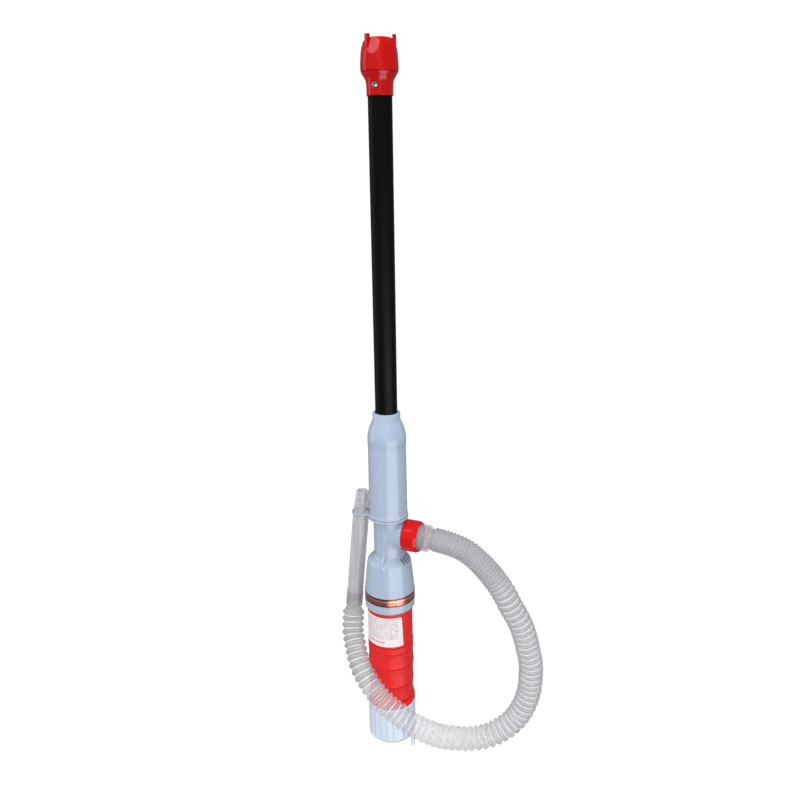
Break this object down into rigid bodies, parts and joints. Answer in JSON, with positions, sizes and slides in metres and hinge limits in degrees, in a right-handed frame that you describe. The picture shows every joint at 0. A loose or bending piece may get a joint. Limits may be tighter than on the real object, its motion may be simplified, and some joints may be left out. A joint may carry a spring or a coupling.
{
  "type": "battery transfer pump",
  "caption": "Long hand-held battery pump with a suction tube, red intake foot, motor head, twist cap and a clear corrugated outlet hose that ends in a clipped nozzle.",
  "frame": {"origin": "middle of the flat end of the battery cap, on which the pump stands", "axes": "+Z along the body towards the intake, +X along the outlet spout"},
  "size_m": [0.195, 0.0771, 0.649],
  "materials": {
    "cap_blue": "gloss",
    "body_blue": "gloss",
    "grip_red": "satin",
    "foot_red": "gloss",
    "nut_red": "gloss",
    "tube_black": "satin",
    "clear_hose": "gloss",
    "clear_cuff": "gloss",
    "clear_tube": "gloss",
    "black_rubber": "matte",
    "seal_white": "matte",
    "steel": "satin",
    "brass": "satin",
    "copper_foil": "satin",
    "copper_winding": "satin",
    "cell_jacket": "satin",
    "label_vinyl": "satin",
    "black_plastic": "matte",
    "white_nylon": "matte",
    "lead_red": "satin"
  },
  "bodies": {
    "pump": {"battery_1": "cell_jacket", "battery_2": "cell_jacket", "battery_tube": "grip_red", "tube_o_ring": "black_rubber", "grip_label": "label_vinyl", "contact_strip": "brass", "contact_holder": "black_plastic", "positive_contact": "brass", "motor_leads": "lead_red", "motor_end_cap": "white_nylon", "motor_can": "steel", "motor_magnets": "black_plastic", "motor_mount": "black_plastic", "motor_screws": "steel", "pump_head": "body_blue", "trim_band": "copper_foil", "shaft_seal": "black_rubber", "seal_retainer": "steel", "neck_o_ring": "black_rubber", "hose_clip": "body_blue", "tube_adapter": "body_blue", "tube_gasket": "black_rubber", "sleeve": "body_blue", "suction_tube": "tube_black", "shaft_guide_1": "white_nylon", "shaft_guide_2": "white_nylon", "shaft_guide_3": "white_nylon", "shaft_guide_4": "white_nylon", "foot_collar": "foot_red", "foot_screw": "steel", "intake_cage": "foot_red", "hose_gasket": "seal_white", "hose_inlet": "clear_cuff", "hose": "clear_hose", "hose_end_cuff": "clear_cuff", "nozzle": "clear_tube"},
    "cap": {"battery_cap": "cap_blue", "cap_contact": "brass", "cap_spring": "steel"},
    "rotor": {"motor_rotor": "copper_winding", "shaft_coupling": "white_nylon", "drive_shaft": "steel", "impeller": "white_nylon"},
    "nut": {"hose_nut": "nut_red"}
  },
  "joints": [
    {"name": "cap_twist", "type": "hinge", "parent": "pump", "child": "cap", "pos_m": [0, 0, 0.02], "axis": [0, 0, 1], "range_deg": [0, 60]},
    {"name": "rotor_spin", "type": "hinge", "parent": "pump", "child": "rotor", "pos_m": [0, 0, 0.3], "axis": [0, 0, 1], "continuous": true},
    {"name": "nut_turn", "type": "hinge", "parent": "pump", "child": "nut", "pos_m": [0.024, 0, 0.2202], "axis": [1, 0, 0], "range_deg": [0, 360]}
  ]
}
